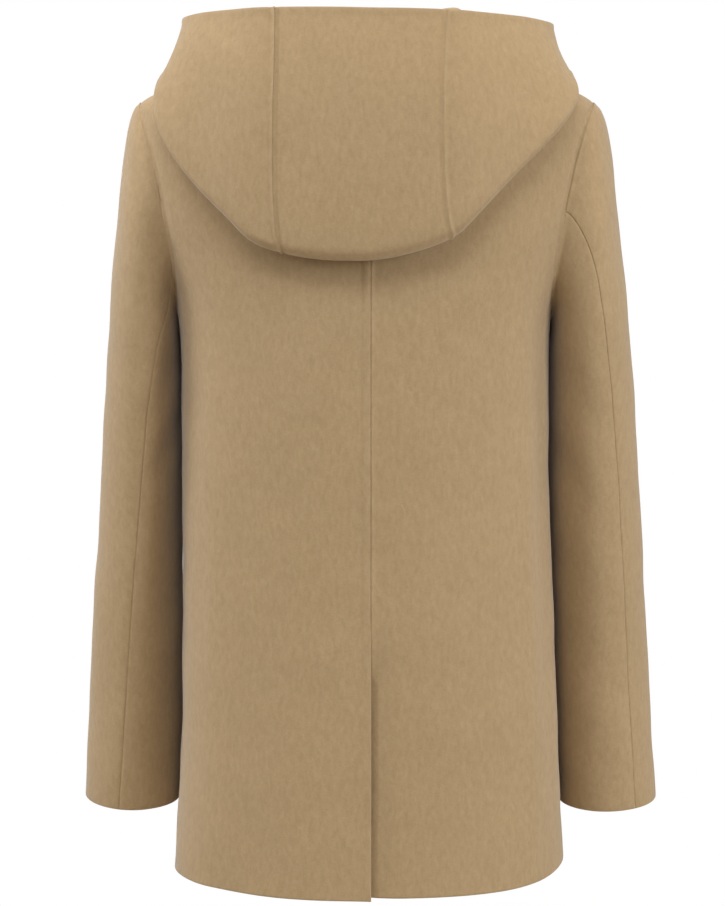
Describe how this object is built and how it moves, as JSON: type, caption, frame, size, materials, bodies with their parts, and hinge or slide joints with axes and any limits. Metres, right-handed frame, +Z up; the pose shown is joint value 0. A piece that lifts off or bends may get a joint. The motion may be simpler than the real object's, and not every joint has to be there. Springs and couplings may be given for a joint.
{
  "type": "overshirt",
  "caption": "Hooded hip-length wool overshirt cut like a short coat, worn and hollow, hood lying on the back, centre back seam with a vent, two-piece sleeves and a buttoned front.",
  "frame": {"origin": "middle of the neck, level with the points where the shoulder seams meet the neckline", "axes": "+Z up, the front faces -Y, and the wearer's left is +X"},
  "size_m": [0.5218, 0.2925, 0.7702],
  "materials": {
    "wool": "brushed double-faced wool, matt with a soft nap",
    "horn": "dark horn-like, softly polished"
  },
  "bodies": {
    "root": {"back_left": "wool", "back_right": "wool", "front_left": "wool", "front_right": "wool", "sleeve_left_top": "wool", "sleeve_left_under": "wool", "sleeve_right_top": "wool", "sleeve_right_under": "wool", "hood_centre": "wool", "hood_left": "wool", "hood_right": "wool", "button_1": "horn", "button_2": "horn", "button_3": "horn", "button_4": "horn", "button_5": "horn"}
  },
  "joints": []
}
